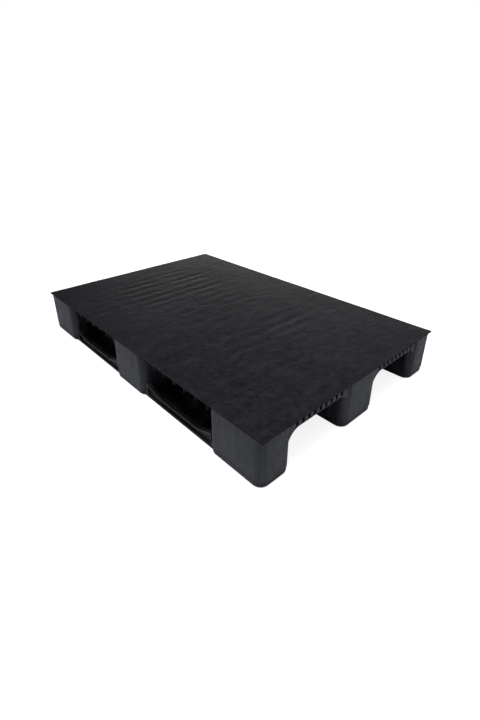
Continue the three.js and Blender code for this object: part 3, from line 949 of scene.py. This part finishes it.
FLOOR_HALF = 60000         # half the length of the floor's sides, in mm
FLOOR_COLOUR = (0.48, 0.495, 0.55, 1)  # as light and gloss see it
FLOOR_GLOW = 0.85          # what makes the floor plain white to the camera
WHITE = (1, 1, 1, 1)
OVERHEAD = 1.65            # brightness of the light overhead, where the low wall's is 1
ROOM = 0.03                # brightness of the rest of the room

# Where the studio's walls and its light overhead lie, by direction: each stop is a part of the
# unit vector towards them, and the brightness there.
LOW_WALL_HEIGHT = [(0.20, 1.0), (0.26, 0.0)]
LOW_WALL_RIGHT = [(0.32, 0.03), (0.50, 1.0)]
HIGH_WALL_HEIGHT = [(0.40, 0.6), (0.60, 0.0)]
HIGH_WALL_NEAR = [(0.10, 0.0), (0.40, 1.0)]
OVERHEAD_HEIGHT = [(0.83, 0.0), (0.90, 1.0)]

LENS = 21.23               # focal length, in mm
SENSOR = 36                # width of the sensor, in mm
SHIFT = (0.0033, -0.0502)  # shift of the lens, as parts of the sensor's width
AZIMUTH = math.radians(47.45)    # from the left side round to the front
ELEVATION = math.radians(26.09)  # above the floor
CAMERA_PLACE = (1.0898, -0.9232, 0.7906)  # in metres


def seen_directly(tree):
    """One for what the camera sees directly, zero for what lights the pallet or shines in it."""
    return node_of(tree, "ShaderNodeLightPath").outputs["Is Camera Ray"]


def maths_node(tree, operation, *values):
    node = node_of(tree, "ShaderNodeMath", operation=operation)
    for socket, value in zip(node.inputs, values):
        if isinstance(value, (int, float)):
            socket.default_value = value
        else:
            tree.links.new(value, socket)
    return node.outputs[0]


def choice_node(tree, amount, first, second):
    """The first shader where amount is zero and the second where it is one."""
    choice = node_of(tree, "ShaderNodeMixShader")
    for socket, source in zip(choice.inputs, (amount, first, second)):
        tree.links.new(source, socket)
    return choice.outputs[0]


def floor_material():
    """White to the camera, pale grey in the plastic's gloss, clear from below."""
    material = bpy.data.materials.new("pale_floor")
    material.use_nodes = True
    tree = material.node_tree
    shader = tree.nodes["Principled BSDF"]
    shader.inputs["Base Color"].default_value = FLOOR_COLOUR
    shader.inputs["Roughness"].default_value = 0.9
    shader.inputs["Specular IOR Level"].default_value = 0.1
    glow = node_of(tree, "ShaderNodeEmission", Color=WHITE)
    seen = maths_node(tree, "MULTIPLY", seen_directly(tree), FLOOR_GLOW)
    tree.links.new(seen, glow.inputs["Strength"])
    total = node_of(tree, "ShaderNodeAddShader")
    tree.links.new(shader.outputs[0], total.inputs[0])
    tree.links.new(glow.outputs[0], total.inputs[1])
    from_below = node_of(tree, "ShaderNodeNewGeometry").outputs["Backfacing"]
    clear = node_of(tree, "ShaderNodeBsdfTransparent").outputs[0]
    one_sided = choice_node(tree, from_below, total.outputs[0], clear)
    tree.links.new(one_sided, tree.nodes["Material Output"].inputs["Surface"])
    return material


def floor():
    half = FLOOR_HALF
    mesh = mesh_from([(-half, -half, 0), (half, -half, 0), (half, half, 0), (-half, half, 0)],
                     [(0, 1, 2, 3)])
    mesh.materials.append(floor_material())
    item = bpy.data.objects.new("floor", mesh)
    bpy.context.scene.collection.objects.link(item)


def wall_brightness(tree):
    """A low pale wall on the right, higher ones at the front and left, and a light overhead."""
    parts = node_of(tree, "ShaderNodeSeparateXYZ")
    tree.links.new(node_of(tree, "ShaderNodeTexCoord").outputs["Generated"], parts.inputs[0])
    towards_x, towards_y, towards_z = parts.outputs
    low_wall = maths_node(tree, "MULTIPLY", ramp_node(tree, towards_z, LOW_WALL_HEIGHT),
                          ramp_node(tree, towards_y, LOW_WALL_RIGHT))
    towards_left = maths_node(tree, "MULTIPLY", towards_y, -1)
    near_side = maths_node(tree, "MAXIMUM", towards_x, towards_left)
    high_wall = maths_node(tree, "MULTIPLY", ramp_node(tree, towards_z, HIGH_WALL_HEIGHT),
                           ramp_node(tree, near_side, HIGH_WALL_NEAR))
    walls = maths_node(tree, "MAXIMUM", low_wall, high_wall)
    room = maths_node(tree, "ADD", walls, ROOM)
    overhead = ramp_node(tree, towards_z, OVERHEAD_HEIGHT)
    return maths_node(tree, "MULTIPLY_ADD", overhead, OVERHEAD, room)


def studio():
    """The light that comes from all round. The camera itself sees a plain white backdrop."""
    world = bpy.data.worlds.new("studio")
    bpy.context.scene.world = world
    world.use_nodes = True
    tree = world.node_tree
    background = tree.nodes["Background"]
    background.inputs["Color"].default_value = WHITE
    tree.links.new(wall_brightness(tree), background.inputs["Strength"])
    backdrop = node_of(tree, "ShaderNodeBackground", Color=WHITE)
    choice = choice_node(tree, seen_directly(tree), background.outputs[0], backdrop.outputs[0])
    tree.links.new(choice, tree.nodes["World Output"].inputs["Surface"])


def facing(direction):
    """The rotation of a light or a camera that looks in a direction."""
    return Vector(direction).to_track_quat("-Z", "Y").to_euler()


def softbox(name, place, target, size, power, spread=180):
    """A rectangular light at a place in metres. Its power is in watts, its spread in degrees."""
    light = bpy.data.lights.new(name, "AREA")
    light.shape = "RECTANGLE"
    light.size, light.size_y = size
    light.energy = power
    light.spread = math.radians(spread)
    item = bpy.data.objects.new(name, light)
    bpy.context.scene.collection.objects.link(item)
    item.location = place
    item.rotation_euler = facing(Vector(target) - Vector(place))


def softboxes():
    softbox("left_light", (-4.0, -4.6, 1.9), (0, -0.3, 0.08), size=(2.6, 1.6), power=6)
    softbox("right_light", (4.2, 4.4, 2.0), (0.5, 0, 0.08), size=(2.6, 1.6), power=10)
    softbox("far_light", (-1.35, 1.45, 1.3), (-1.35, 1.45, 0), size=(1.3, 1.0), power=22, spread=95)
    softbox("near_light", (0.55, -0.75, 1.8), (0.5, -0.6, 0), size=(0.7, 0.7), power=16.5)
    softbox("back_light", (-2.6, 4.4, 2.4), (0, 0, 0.15), size=(2.4, 0.8), power=1.5)


def camera():
    data = bpy.data.cameras.new("camera")
    data.lens = LENS
    data.sensor_width = SENSOR
    data.shift_x, data.shift_y = SHIFT
    item = bpy.data.objects.new("camera", data)
    bpy.context.scene.collection.objects.link(item)
    back = Vector((math.sin(AZIMUTH) * math.cos(ELEVATION),
                   -math.cos(AZIMUTH) * math.cos(ELEVATION), math.sin(ELEVATION)))
    item.location = CAMERA_PLACE
    item.rotation_euler = facing(-back)
    bpy.context.scene.camera = item


floor()
studio()
softboxes()
camera()
bpy.context.scene.view_settings.view_transform = "Standard"
